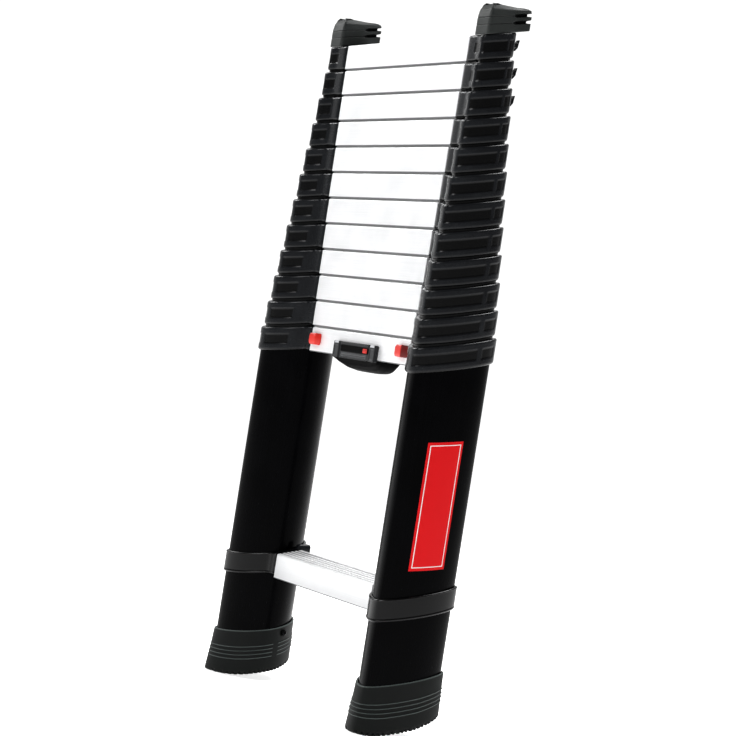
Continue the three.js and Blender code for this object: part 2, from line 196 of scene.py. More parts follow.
def piece(name, grids, material, body, slot, *nodes):
    """A mesh of closed skins. A grid is (points in mm as rows x columns x 3, capped): four neighbours make a
    quad, columns close on themselves, and rows either close too or are capped at both ends with the middle
    of the end row. A skin whose volume sum(a . b x c) / 6 is negative is turned to face outwards. A grid's
    third item, where it has one, goes from 0 to 1 where the surface has the material's second finish."""
    verts, faces, marks, start = [], [], [], 0
    for points, capped, *second in grids:
        rows, columns = points.shape[:2]
        mark = (second[0] if second else np.zeros((rows, columns))).reshape(-1)
        marks.append(np.r_[mark, [mark[0], mark[-1]] if capped else []])
        r = np.arange(rows - 1 if capped else rows)[:, None] * columns
        c = np.arange(columns)[None, :]
        on, up = (c + 1) % columns, (r + columns) % (rows * columns)
        quads = np.stack([r + c, r + on, up + on, up + c], -1).reshape(-1, 4)
        corners = points.reshape(-1, 3)
        fans = np.zeros((0, 3), int)
        if capped:
            n, end = len(corners), (rows - 1) * columns
            corners = np.vstack([corners, points[0].mean(0), points[-1].mean(0)])
            c = c[0]
            low = np.stack([np.full(columns, n), (c + 1) % columns, c], -1)
            high = np.stack([np.full(columns, n + 1), end + c, end + (c + 1) % columns], -1)
            fans = np.vstack([low, high])
        thirds = np.vstack([quads[:, :3], quads[:, [0, 2, 3]], fans])
        a, b, c = (corners[thirds[:, i]] - corners.mean(0) for i in range(3))
        if np.einsum("ij,ij->", a, np.cross(b, c)) < 0:
            quads, fans = quads[:, ::-1], fans[:, ::-1]
        verts.append(corners)
        faces += (quads + start).tolist() + (fans + start).tolist()
        start += len(corners)
    mesh = bpy.data.meshes.new(name)
    mesh.from_pydata((np.vstack(verts) / 1000).tolist(), [], faces)
    mesh.attributes.new("second", "FLOAT", "POINT").data.foreach_set("value", np.concatenate(marks))
    mesh.shade_smooth()
    mesh.set_sharp_from_angle(angle=math.radians(CREASE))
    mesh.materials.append(material)
    made = bpy.data.objects.new(name, mesh)
    bpy.context.scene.collection.objects.link(made)
    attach(made, body)
    if nodes:
        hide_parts(*nodes)
    return made


def finish(name, colours, roughness, grain, relief, stretch=(1, 1, 1), second=None, **shader):
    """A material with an even grain: noise, grain mm across and stretched along the axes as given, moves the
    colour between two near ones and the roughness between two bounds, and lifts the surface by relief mm.
    The second finish, a colour and a roughness, takes over where the mesh's attribute says so."""
    made = bpy.data.materials.new(name)
    made.use_nodes = True
    tree = made.node_tree
    at = node(tree, "ShaderNodeTexCoord")
    drawn = node(
        tree,
        "ShaderNodeMapping",
        {"Vector": (at, "Object"), "Scale": tuple(1000 / (grain * s) for s in stretch)},
    )
    noise = node(
        tree,
        "ShaderNodeTexNoise",
        {"Vector": (drawn, "Vector"), "Scale": 1.0, "Detail": 4.0, "Roughness": 0.6},
    )
    broad = node(tree, "ShaderNodeTexNoise", {"Vector": (at, "Object"), "Scale": 22.0, "Detail": 3.0})
    spread = node(
        tree,
        "ShaderNodeMath",
        {0: (noise, "Fac"), 1: (broad, "Fac")},
        operation="ADD",
    )
    tone = node(
        tree,
        "ShaderNodeMapRange",
        {"Value": (spread, "Value"), "From Min": 0.75, "From Max": 1.25},
    )
    colour = node(
        tree,
        "ShaderNodeMix",
        {0: (tone, "Result"), 6: linear(colours[0]), 7: linear(colours[1])},
        data_type="RGBA",
    )
    rough = node(
        tree,
        "ShaderNodeMapRange",
        {
            "Value": (spread, "Value"),
            "From Min": 0.75,
            "From Max": 1.25,
            "To Min": roughness[0],
            "To Max": roughness[1],
        },
    )
    bump = node(
        tree,
        "ShaderNodeBump",
        {"Height": (noise, "Fac"), "Strength": 1.0, "Distance": relief / 1000},
    )
    if second:
        share = node(tree, "ShaderNodeAttribute", attribute_name="second")
        colour = node(
            tree,
            "ShaderNodeMix",
            {0: (share, "Fac"), 6: (colour, 2), 7: linear(second[0])},
            data_type="RGBA",
        )
        rough = node(
            tree,
            "ShaderNodeMapRange",
            {"Value": (share, "Fac"), "To Min": (rough, "Result"), "To Max": second[1]},
        )
    principled = tree.nodes["Principled BSDF"]
    tree.links.new(colour.outputs[2], principled.inputs["Base Color"])
    tree.links.new(rough.outputs["Result"], principled.inputs["Roughness"])
    tree.links.new(bump.outputs["Normal"], principled.inputs["Normal"])
    for socket, value in shader.items():
        principled.inputs[socket.replace("_", " ")].default_value = value
    return made


# Black anodised aluminium, drawn through a die: deep black with a satin gloss and fine upright draw lines.
# The lines are really under 0.1 mm apart and are drawn 0.9 mm wide so that they show.
anodised = finish(
    "black_anodised_extrusion",
    (0x020203, 0x060608),
    (0.22, 0.32),
    grain=0.9,
    relief=0.006,
    stretch=(1, 1, 160),
    Specular_IOR_Level=0.05,
)

BASE_TOP = 472.45
for side, name in SIDES:
    high = BASE_TOP - 4.3
    rows = [
        on_stile(egg(FIRST, grow), z, side)
        for grow, z in (
            (-1.0, 24.0), (-0.3, 24.0), (0.0, 24.3), (0.0, 150.0), (0.0, 300.0), (0.0, high - 0.3),
            (-0.3, high), (-1.0, high), (-TUBE_WALL, high - 0.3), (-TUBE_WALL, 24.3),
        )
    ]
    tube_name = f"outer_tube_{name}"
    piece(tube_name, [(np.stack(rows), False)], anodised, "base", "black_tube", tube_name)

# ---- Sliding tubes ----
# Eleven pairs of the same profile, each a step smaller, nest in one another and slide straight up. Each is
# moulded into its own collar at the top and is cut off square below.
TUBE_LENGTH, SHOULDER = 405.0, 4.0


def top_of(level):
    """Height of a closed rung's tread on the stile's axis."""
    return BASE_TOP + PITCH_Z * (level - FIRST)


for level in range(FIRST + 1, LAST + 1):
    for side, name in SIDES:
        low, high = top_of(level) - TUBE_LENGTH, top_of(level) - SHOULDER - 0.1
        rows = [
            on_stile(egg(level, grow, 96), z, side, slope)
            for grow, z, slope in (
                (-1.0, low, 0.0), (-0.3, low, 0.0), (0.0, low + 0.3, 0.0), (0.0, low + 120.0, 0.0),
                (0.0, low + 240.0, 0.0), (0.0, high - 0.3, SLOPE), (-0.3, high, SLOPE), (-1.0, high, SLOPE),
                (-TUBE_WALL, high - 0.3, SLOPE), (-TUBE_WALL, low + 0.3, 0.0),
            )
        ]
        node_name = f"stile_{level}_{name}"
        tube_name = f"tube_{level}_{name}"
        piece(tube_name, [(np.stack(rows), False)], anodised, f"section_{level}", "black_tube", node_name)

# ---- Collars ----
# A glass-filled nylon collar caps each tube and guides the next one. Its inner side runs out into a square
# nose that holds the rung; its wall is cored out in shallow panels, split at the front by an upright rib.
COLLAR_HEIGHT, COLLAR_WALL, NECK_GROW = 31.0, 3.8, 1.6
NOSE_HALF = 19.0
COLUMN_STEP = 1.2  # mm between columns of the mesh
PANEL_DEPTH = 0.6
# Panels by direction round the stile in degrees: 0 is outwards, -90 the front, 180 the rung.
PANELS = ((-131.0, -84.0), (-75.0, 26.0), (34.0, 60.0), (84.0, 131.0))
PANEL_SIDE, PANEL_END = 2.2, 0.045  # the panels' slopes: degrees, and a share of the wall's height
WALL_FOOT, WALL_HEAD, WALL_ROWS = 3.6, 2.4, 27
# The underside rows' second finish is painted shade under the collar.
UNDERSIDE = ((2.2, 0.0, 1.0), (1.3, 0.5, 1.0), (0.5, 1.4, 1.0), (0.1, 2.6, 0.4))  # in, up, second finish
RIM = ((0.1, 1.8), (0.4, 1.1), (0.8, 0.6), (1.4, 0.2), (2.2, 0.0))  # in, and below the top


def egg_radius(level, grow, theta):
    """How far a stile's outline lies from its axis in direction theta."""
    outline = egg(level, grow, 1440)
    turn = np.arctan2(outline[:, 1], outline[:, 0])
    return np.interp(theta, turn, np.hypot(outline[:, 0], outline[:, 1]), period=2 * math.pi)


def nose_reach(level):
    """From the stile's axis to the end of the rung."""
    return between(62.0, 35.5, level)


def collar_radius(level, grow, theta):
    """The tube's outline joined with the nose, a square with soft corners: (|cos| / length)^12 + (|sin| /
    half)^12 = radius^-12. The join adds (k - |a - b|)^2 / 4k to the larger of the two, a hollow fillet."""
    round_part = egg_radius(level, COLLAR_WALL + grow, theta)
    length = np.where(np.cos(theta) < 0, nose_reach(level) + grow, 8.0)
    terms = (np.abs(np.cos(theta)) / length) ** 12 + (np.abs(np.sin(theta)) / (NOSE_HALF + grow)) ** 12
    square_part = terms ** (-1 / 12)
    k = between(9.0, 5.0, level)
    overlap = np.maximum(k - np.abs(round_part - square_part), 0)
    return np.maximum(round_part, square_part) + overlap**2 / (4 * k)


def even_directions(level, step=COLUMN_STEP):
    """Directions round a collar whose points are evenly spaced along its outline."""
    theta = np.linspace(-math.pi, math.pi, 4001)
    radius = collar_radius(level, 0.0, theta)
    x, y = radius * np.cos(theta), radius * np.sin(theta)
    walked = np.r_[0, np.cumsum(np.hypot(np.diff(x), np.diff(y)))]
    count = round(walked[-1] / step)
    return np.interp(np.linspace(0, walked[-1], count, endpoint=False), walked, theta)


def polar(radius, theta):
    """x and y from a radius and a direction."""
    return np.stack([radius * np.cos(theta), radius * np.sin(theta)], -1)


def ramp(value, low, high, width):
    """1 between low and high and 0 outside, falling off evenly over width."""
    return np.clip((value - low) / width, 0, 1) * np.clip((high - value) / width, 0, 1)


def collar_rows(level, side, low, height, bore, panels, sockets=(), painted_shade=0.0):
    """Rows of a collar's skin: from the bore's foot out under the collar, up the wall, over the top and down
    the bore. Wall rows are drawn in by the panels: depth x ramp(direction) x ramp(height). The second finish
    is painted shade: on the panels, the underside and the socket rows below, and on the rest by the share
    given last."""
    theta = even_directions(level)
    degrees = np.degrees(theta)
    # Painted shade over the whole wall by the share given last; the rung clamps take it in full.
    plain = np.full(len(theta), painted_shade)
    wall = []
    for t in np.linspace(0, 1, WALL_ROWS):
        sunk = plain
        for start, end, foot, head in panels:
            sunk = np.maximum(sunk, ramp(degrees, start, end, PANEL_SIDE) * ramp(t, foot, head, PANEL_END))
        z = low + WALL_FOOT + t * (height - WALL_FOOT - WALL_HEAD)
        wall.append((collar_radius(level, 0.0, theta) - PANEL_DEPTH * sunk, z, sunk))
    top = low + height
    under = [
        (collar_radius(level, -back, theta), low + up, np.maximum(plain, share))
        for back, up, share in UNDERSIDE
    ]
    rim = [(collar_radius(level, -back, theta), top - fall, plain) for back, fall in RIM]
    # The socket rows below the collar are painted shade in full.
    rows = [(radius, z, plain + 1) for radius, z in sockets] + under + wall + rim
    rows += [(radius, z, plain) for radius, z in bore]
    points = np.stack([on_stile(polar(radius, theta), z, side) for radius, z, _ in rows])
    return points, False, np.stack([mark for _, _, mark in rows])


# Glass-filled nylon moulded in a spark-eroded tool: black with an even satin sheen. Its second finish, a
# deeper
# black, is painted shade: in the sunk panels, under each collar, on the neck below it and over the whole of
# each rung clamp. Its grain is about 0.05 mm and is drawn at 0.7 mm, very shallow, so it only softens
# reflections.
nylon = finish(
    "black_glass_filled_nylon",
    (0x18191C, 0x222427),
    (0.20, 0.30),
    grain=0.7,
    relief=0.006,
    second=(0x060607, 0.26),
    Specular_IOR_Level=0.30,
)

FULL_PANELS = [(start, end, 0.2, 0.76) for start, end in PANELS]
for level in range(FIRST, LAST + 1):
    for side, name in SIDES:
        theta = even_directions(level)
        top = top_of(level)
        low = top - COLLAR_HEIGHT
        hole = egg_radius(level + 1, 0.5, theta) if level < LAST else egg_radius(level, -TUBE_WALL, theta)
        snug = egg_radius(level, 0.1 if level > FIRST else 0.3, theta)
        bore = [
            (hole + 0.5, top),
            (hole, top - 0.5),
            (hole, top - SHOULDER),
            (snug, top - SHOULDER),
        ]
        neck = egg_radius(level, NECK_GROW, theta)
        neck_low = low - (PITCH_Z - COLLAR_HEIGHT) + 0.3
        under = [(snug, neck_low), (neck, neck_low), (neck, low)] if level > FIRST else [(snug, low)]
        grid = collar_rows(level, side, low, COLLAR_HEIGHT, bore, FULL_PANELS, under)
        body = "base" if level == FIRST else f"section_{level}"
        node_name = f"top_collar_{name}" if level == FIRST else f"stile_{level}_{name}"
        piece(f"collar_{level}_{name}", [grid], nylon, body, "black_plastic", node_name)

# ---- Rung clamps ----
# Rung 1 is held to the outermost tubes by a pair of the same nylon clamps. Their walls are plain, apart from
# one small sunk panel at the back, and a lug at the back inner corner draws the two halves together.
RUNG_ONE_TOP, CLAMP_HEIGHT = 173.3, 28.0


def rounded(corners, radius, count):
    """A closed outline with soft corners: the polygon is walked in even steps, and each point becomes the
    mean of those within radius on either side, which leaves the straight sides as they are."""
    corners = np.array(corners, float)
    closed = np.vstack([corners, corners[:1]])
    walked = np.r_[0, np.cumsum(np.hypot(*np.diff(closed, axis=0).T))]
    steps = np.linspace(0, walked[-1], count * 4, endpoint=False)
    walk = np.stack([np.interp(steps, walked, closed[:, i]) for i in (0, 1)], -1)
    reach = max(1, round(radius * len(walk) / walked[-1]))
    return np.mean([np.roll(walk, shift, axis=0) for shift in range(-reach, reach + 1)], axis=0)[::4]


def inset(outline, amount):
    """An outline moved inwards along its normal, which is its tangent turned by a right angle."""
    along = np.roll(outline, -1, axis=0) - np.roll(outline, 1, axis=0)
    normal = np.stack([along[:, 1], -along[:, 0]], -1) / np.hypot(*along.T)[:, None]
    x, y = outline.T
    turning = np.sign(np.sum(x * np.roll(y, -1) - np.roll(x, -1) * y))
    return outline - turning * normal * amount


LUG = [(-56.5, 15.0), (-45.5, 15.0), (-45.5, 33.0), (-56.5, 33.0)]
CLAMP_PANELS = [(38.0, 56.0, 0.42, 0.9)]
for side, name in SIDES:
    theta = even_directions(FIRST)
    low = RUNG_ONE_TOP - CLAMP_HEIGHT
    snug = egg_radius(FIRST, 0.3, theta)
    bore = [(snug + 0.6, RUNG_ONE_TOP), (snug, RUNG_ONE_TOP - 0.6)]
    # The clamps take the nylon's deeper black all over: painted shade.
    grid = collar_rows(FIRST, side, low, CLAMP_HEIGHT, bore, CLAMP_PANELS, [(snug, low)], 1.0)
    lug_line = rounded(LUG, 2.5, 48)
    lug_rows = ((3.0, 155.0), (0.0, 158.0), (0.0, 175.0), (0.0, 178.0), (0.9, 180.6), (2.6, 181.8))
    lug = np.stack([on_stile(inset(lug_line, amount), z, side, SLOPE * 0.4) for amount, z in lug_rows])
    clamp_name = f"rung_clamp_{name}"
    piece(clamp_name, [grid, (lug, True)], nylon, "base", "black_plastic", clamp_name)

# ---- Rungs ----
# Thirteen hollow extruded aluminium bars with upright faces. The tread and the underside tilt up to the
# back, and the tread has five grooves along it against slipping. Each is pressed between two collars.
RUNG_HALF, RUNG_HEIGHT, RUNG_WALL = 17.5, 31.95, 2.0
GROOVES = np.array([-11.2, -5.6, 0.0, 5.6, 11.2])
GROOVE_HALF, GROOVE_DEPTH, RUNG_CORNER = 1.5, 1.1, 1.8

# Extruded aluminium, bright anodised satin, with very fine lines along the bar. Its near white is partly the
# metal's own light colour and partly painted reflection of the white room; its grey second finish is painted
# shade in the grooves, along the lower edge and on rung 1's face towards its foot.
# The lines are really about 0.05 mm apart and are drawn at 0.6 mm.
bright = finish(
    "satin_anodised_aluminium",
    (0xEEEFF0, 0xF8F8F9),
    (0.34, 0.46),
    grain=0.6,
    relief=0.006,
    stretch=(260, 1, 1),
    second=(0x55575A, 0.4),
    Metallic=0.35,
)


def rung_grid(low, top, end, pocket=None, painted_shade=0.0):
    """A hollow bar: the outline in y and z is carried along x, out on the skin and back inside it. The tread
    is lowered by the grooves, and a pocket pushes the front wall back by depth x ramp(x) x ramp(z). The
    grooves, the lower edge and, where the last argument is above 0, the face towards its foot are painted
    greyer: painted shade."""
    corners = [(-RUNG_HALF, low), (RUNG_HALF, low), (RUNG_HALF, top), (-RUNG_HALF, top)]
    skin = rounded(corners, RUNG_CORNER, 300)
    lining = inset(skin, RUNG_WALL)
    on_tread = skin[:, 1] > top - 0.05
    groove = np.max(ramp(skin[:, :1], GROOVES - GROOVE_HALF, GROOVES + GROOVE_HALF, 0.7), axis=1)
    skin[on_tread, 1] -= (GROOVE_DEPTH * groove)[on_tread]
    x = np.array([-end, -end + 0.5, -end / 2, 0.0, end / 2, end - 0.5, end])
    if pocket:
        inner, outer, foot, head, depth = pocket
        edges = np.array([inner, inner + 0.3, outer - 0.3, outer])
        x = np.sort(np.r_[x, edges, -edges])
    fallen = np.clip((top - skin[:, 1]) / RUNG_HEIGHT, 0, 1)
    lower_edge = fallen > 0.955
    # Painted shade: grey in the grooves, along the lower edge and, by the last argument, down the face.
    shade = 0.9 * groove * on_tread + painted_shade * 0.30 * fallen**1.2 + 0.9 * lower_edge
    rows = []
    for outline, order in ((skin, x), (lining, x[::-1])):
        for at in order:
            y, z = outline[:, 0].copy(), outline[:, 1] + SLOPE * outline[:, 0]
            if outline is skin and at in (-end, end):
                y, z = inset(np.stack([y, z], -1), 0.5).T
            if pocket:
                front = outline[:, 0] < -RUNG_HALF + RUNG_WALL + 0.3
                y = y + front * depth * ramp(abs(at), inner, outer, 0.3) * ramp(z, foot, head, 0.6)
            rows.append(np.stack([np.full(len(y), at), STILE_Y + y, z], -1))
    return np.stack(rows), False, np.clip(np.tile(shade, (len(rows), 1)), 0, 1)


# The slot for a button's stem: between two distances from the middle and two heights, and how deep.
BUTTON_SLOT = (108.5, 124.5, 449.0, 457.0, 5.0)
for level in range(1, LAST + 1):
    fitted = max(level, FIRST)
    top = RUNG_ONE_TOP if level == 1 else top_of(level)
    end = STILE_X - nose_reach(fitted) - 0.3
    slotted = BUTTON_SLOT if level == FIRST else None
    # Rung 1's face is painted greyer towards its foot: painted shade.
    grid = rung_grid(top - RUNG_HEIGHT, top, end, slotted, 1.0 if level == 1 else 0.0)
    body = "base" if level <= FIRST else f"section_{level}"
    piece(f"rung_{level}", [grid], bright, body, "bright_aluminium", f"rung_{level}")

# ---- Painted gap shade strips ----
# A thin grey strip is set along the underside of every sliding rung, a little in from its front: painted
# shade, which stands for the shadowed gap between closed rungs.
STRIP_HALF, STRIP_HEIGHT = 15.3, 1.6
# Matt grey, painted shade of the gap between the rungs.
gap_shade_paint = finish("grey_painted_gap_shade", (0x8A8A8A, 0x989898), (0.6, 0.75), grain=1.2, relief=0.03)
for level in range(FIRST + 1, LAST + 1):
    low, end = top_of(level) - RUNG_HEIGHT, STILE_X - nose_reach(level) - 2.0
    foot, head = low - STRIP_HEIGHT, low - 0.05
    corners = [(-STRIP_HALF, foot), (STRIP_HALF, foot), (STRIP_HALF, head), (-STRIP_HALF, head)]
    line = rounded(corners, 0.3, 80)
    y, z = line[:, 0], line[:, 1] + SLOPE * line[:, 0]
    rows = [np.stack([np.full(len(y), at), STILE_Y + y, z], -1) for at in np.linspace(-end, end, 5)]
    strip = (np.stack(rows), True)
    piece(f"gap_shade_strip_{level}", [strip], gap_shade_paint, f"section_{level}", "rubber", f"rung_{level}")

# ---- Release buttons and lock pins ----
# A red acetal thumb pad slides along each end of rung 2 and draws a steel pin out of the collar. The pad has
# a slope at each end, the outer one rougher and painted darker as painted shade, and covers the slot its stem
# runs in.
# Moulded acetal: a strong red with a soft gloss; the outer slope is rougher and painted a darker red as
# painted shade.
acetal = finish(
    "red_acetal",
    (0xD02A1F, 0xDE382D),
    (0.26, 0.36),
    grain=0.8,
    relief=0.01,
    second=(0x7A0C08, 0.4),
    Specular_IOR_Level=0.5,
)
# Turned and zinc-plated steel, hidden in the rung: mid grey metal with an even grain; the turning marks round
# the pin are not drawn.
plated = finish(
    "zinc_plated_steel",
    (0x9A9DA0, 0xBFC2C5),
    (0.28, 0.42),
    grain=0.7,
    relief=0.01,
    Metallic=1.0,
)
PAD = [(106.2, -17.6), (111.0, -24.6), (127.5, -25.2), (134.6, -17.6)]
PAD_SLOPE = 127.0  # where the outer slope begins
PAD_CENTRE = np.array([120.4, -17.6])  # the ends of the pad close in on this point of its back
PAD_ROWS = (
    (0.5, 445.5), (0.82, 445.7), (0.94, 446.8), (1.0, 449.2),
    (1.0, 456.8), (0.94, 459.2), (0.82, 460.3), (0.5, 460.5),
)
for side, name in SIDES:
    line = rounded(PAD, 1.2, 96)
    rows = []
    for share, z in PAD_ROWS:
        x, y = (PAD_CENTRE + (line - PAD_CENTRE) * share).T
        rows.append(np.stack([side * x, STILE_Y + y, np.full(len(x), z)], -1))
    # The outer slope is painted dark red: painted shade on the side that faces away from the light.
    shaded_slope = np.tile(np.clip(line[:, 0] - PAD_SLOPE, 0, 1), (len(rows), 1))
    pad_name = f"release_button_{name}"
    piece(pad_name, [(np.stack(rows), True, shaded_slope)], acetal, f"button_{name}", "red_plastic", pad_name)
    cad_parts[f"lock_pin_{name}"].material_slots[0].material = plated

# ---- Centre grip ----
# A moulded grip clips over the front of rung 2 and hangs below it as a hand hold. Its front plate has a
# raised clip at each end and a sunk middle, with a plain black band above a ribbed grey field.
GRIP_HALF = 57.0
RUNG_UNDER = BASE_TOP - RUNG_HEIGHT - 0.3
PLATE = [(-23.4, 434.0), (-17.8, 434.0), (-17.8, 455.0), (-23.4, 455.0)]
# Grey moulded polypropylene with a light grain; a painted highlight runs along the top edges of the clips,
# and the ribbed field is a lighter grey.
grey = finish(
    "grey_polypropylene",
    (0x1C1E20, 0x282A2D),
    (0.34, 0.46),
    grain=0.8,
    relief=0.02,
    second=(0xC4C6C9, 0.3),
    Specular_IOR_Level=0.4,
)
# Soft-touch rubber black, with next to no gloss: the band's own colour, and painted shade on the hand hold,
# which hangs under the rung.
soft = finish(
    "black_band_and_painted_hold_shade",
    (0x030304, 0x060607),
    (0.55, 0.7),
    grain=0.9,
    relief=0.01,
    Specular_IOR_Level=0.06,
)
plate_line = rounded(PLATE, 0.9, 150)
GRIP_END = GRIP_HALF - 0.3
RIB_FOOT, RIB_PITCH = 435.6, 1.9
plate_x = np.unique(np.r_[np.arange(-GRIP_HALF + 1, GRIP_HALF, 0.8), [-GRIP_END, GRIP_END]])
plate_middle = (PLATE[0][1] + PLATE[2][1]) / 2
rows, marks = [], []
for at in plate_x:
    y, z = plate_line[:, 0].copy(), plate_line[:, 1].copy()
    front = y < -22.5
    sunk = ramp(at, -40.0, 40.0, 0.8) * ramp(z, 434.8, 451.2, 0.7)
    gap = ramp(abs(at), 38.5, 42.5, 0.8) * ramp(z, 430.0, 457.0, 0.7)
    wave = 0.5 + 0.5 * np.cos(2 * math.pi * (z - RIB_FOOT) / RIB_PITCH)
    ribs = ramp(at, -36.0, 34.0, 0.8) * ramp(z, RIB_FOOT, 441.4, 0.5) * wave
    step = ramp(abs(at), 44.5, 54.0, 0.8) * ramp(z, 436.0, 450.0, 0.7)
    shrink = 1.0 - 0.06 * (abs(at) > GRIP_HALF - 0.6)
    y = y + front * (1.5 * np.maximum(sunk, gap) - 1.1 * ribs + 0.5 * step)
    z = plate_middle + (z - plate_middle) * shrink
    rows.append(np.stack([np.full(len(y), at), STILE_Y + y, z], -1))
    # Painted highlight along the clip tops; the ribbed field a lighter grey, lighter still on the crests, and
    # the clip faces a touch lighter.
    clip_top_highlight = ramp(abs(at), 43.5, 55.5, 0.8) * ramp(z, 451.8, 457.0, 0.6) * (y < -20.5)
    marks.append(np.clip(clip_top_highlight + 0.12 * (ribs > 0) + 0.12 * ribs + 0.04 * step, 0, 1))
plate = (np.stack(rows), True, np.stack(marks))
piece("centre_grip_plate", [plate], grey, "base", "grey_plastic", "centre_grip")

HOLD_GAP = 0.2  # to the underside of the rung
HOLD_END = GRIP_HALF - 0.6
BELLY = [
    (-22.8, RUNG_UNDER - 7), (-17.0, RUNG_UNDER - 13), (-8.0, RUNG_UNDER - 17.5), (3.0, RUNG_UNDER - 19.6),
    (12.5, RUNG_UNDER - 18.6), (16.8, RUNG_UNDER - 11.0), (16.8, RUNG_UNDER + SLOPE * 16.8 - HOLD_GAP),
    (-14.5, RUNG_UNDER - SLOPE * 14.5 - HOLD_GAP), (-17.4, RUNG_UNDER - SLOPE * 17.4 - HOLD_GAP),
    (-22.8, RUNG_UNDER - 4.6),
]
belly_line = rounded(BELLY, 1.6, 140)
rows = []
for t in np.linspace(-1, 1, 61):
    fullness = max(1 - abs(t) ** 5, 0.0) ** 0.5 * 0.9 + 0.1
    y, z = belly_line.T
    ceiling = RUNG_UNDER + SLOPE * y - HOLD_GAP
    x = np.full(len(y), t * HOLD_END)
    rows.append(np.stack([x, STILE_Y + y, ceiling - (ceiling - z) * fullness], -1))
# The hold is painted near black: painted shade under the rung.
piece("centre_grip_hold", [(np.stack(rows), True)], soft, "base", "grey_plastic", "centre_grip")

BAND = rounded([(-37.5, 442.6), (37.5, 442.6), (37.5, 450.2), (-37.5, 450.2)], 0.9, 160)
TAB = rounded([(24.0, 443.6), (35.5, 443.6), (35.5, 449.2), (24.0, 449.2)], 0.7, 80)


def tile(line, back, front):
    """A flat tile with a soft front edge: its outline in x and z, from y back to y front."""
    rows = []
    for amount, y in ((1.0, back), (0.0, back), (0.0, front + 0.3), (0.3, front), (1.4, front - 0.05)):
        x, z = inset(line, amount).T
        rows.append(np.stack([x, np.full(len(x), STILE_Y + y), z], -1))
    return np.stack(rows), True


piece("grip_band", [tile(BAND, -21.8, -22.7)], soft, "base", "black_plastic", "grip_badge")
piece("grip_tab", [tile(TAB, -22.72, -23.0)], acetal, "base", "red_plastic", "grip_badge")

# ---- Feet ----
# A moulded rubber boot holds the end of each outermost tube. It flares towards the toe, its sole curves up
# at both ends and is cut across into small teeth. Four thin ribs run round it, broken by an upright plain
# band beside the screw.
FOOT_WALL, FOOT_RIM, SOCKET_FLOOR = 3.2, 69.5, 24.0
SOLE = np.array([
    (-90.0, 9.0), (-75.0, 5.0), (-58.0, 0.9), (-47.0, 0.0), (-38.0, 0.4), (-28.0, 2.2), (12.0, 12.47),
    (26.0, 17.6), (42.0, 24.0), (57.0, 31.5), (90.0, 52.0),
])
TOOTH_PITCH, TOOTH_DEPTH, TOE_FLARE = 5.5, 3.4, 5.0
RIBS = (0.36, 0.45, 0.54, 0.63)
RIB_HEIGHT, RIB_WIDTH = 0.9, 0.008  # mm, and a share of the boot's height
# How far out from the tube, how far below the rim, and how much of the second finish, a painted highlight
# along the rim.
RIM_ROWS = ((3.15, 0.8, 0.6), (2.9, 0.25, 1.0), (2.4, 0.0, 1.0), (0.8, 0.0, 0.3), (0.35, 0.6, 0.0))
PLAIN_BAND = (166.0, 177.0)
SCREW = {"direction": 160.0, "normal": 157.5, "below": 8.0}
RECESS, RECESS_DEPTH, NOTCH_DEPTH = 5.4, 1.0, 2.2
BOOT_HEIGHT, MM_PER_DEGREE = 62.0, 0.84  # for the recess only: both are near enough there

# Moulded rubber: a slightly green black, matt, dulled unevenly by a bloom, with a painted highlight in grey
# on the ribs and the rim.
rubber = finish(
    "moulded_rubber",
    (0x090C0B, 0x111514),
    (0.48, 0.64),
    grain=1.1,
    relief=0.04,
    second=(0x5E6664, 0.42),
    Specular_IOR_Level=0.25,
)


def teeth(y):
    """1 in a groove of the sole and 0 between grooves, a clipped cosine of the depth y."""
    return np.clip(2.2 * np.cos(2 * math.pi * y / TOOTH_PITCH) - 0.9, 0, 1)


def sole_height(line):
    """The sole's curve along y, which also rises a little towards the narrow inner end of the boot."""
    return np.interp(line[:, 1], *SOLE.T) + 0.15 + 0.075 * np.maximum(0, -line[:, 0] - 5)


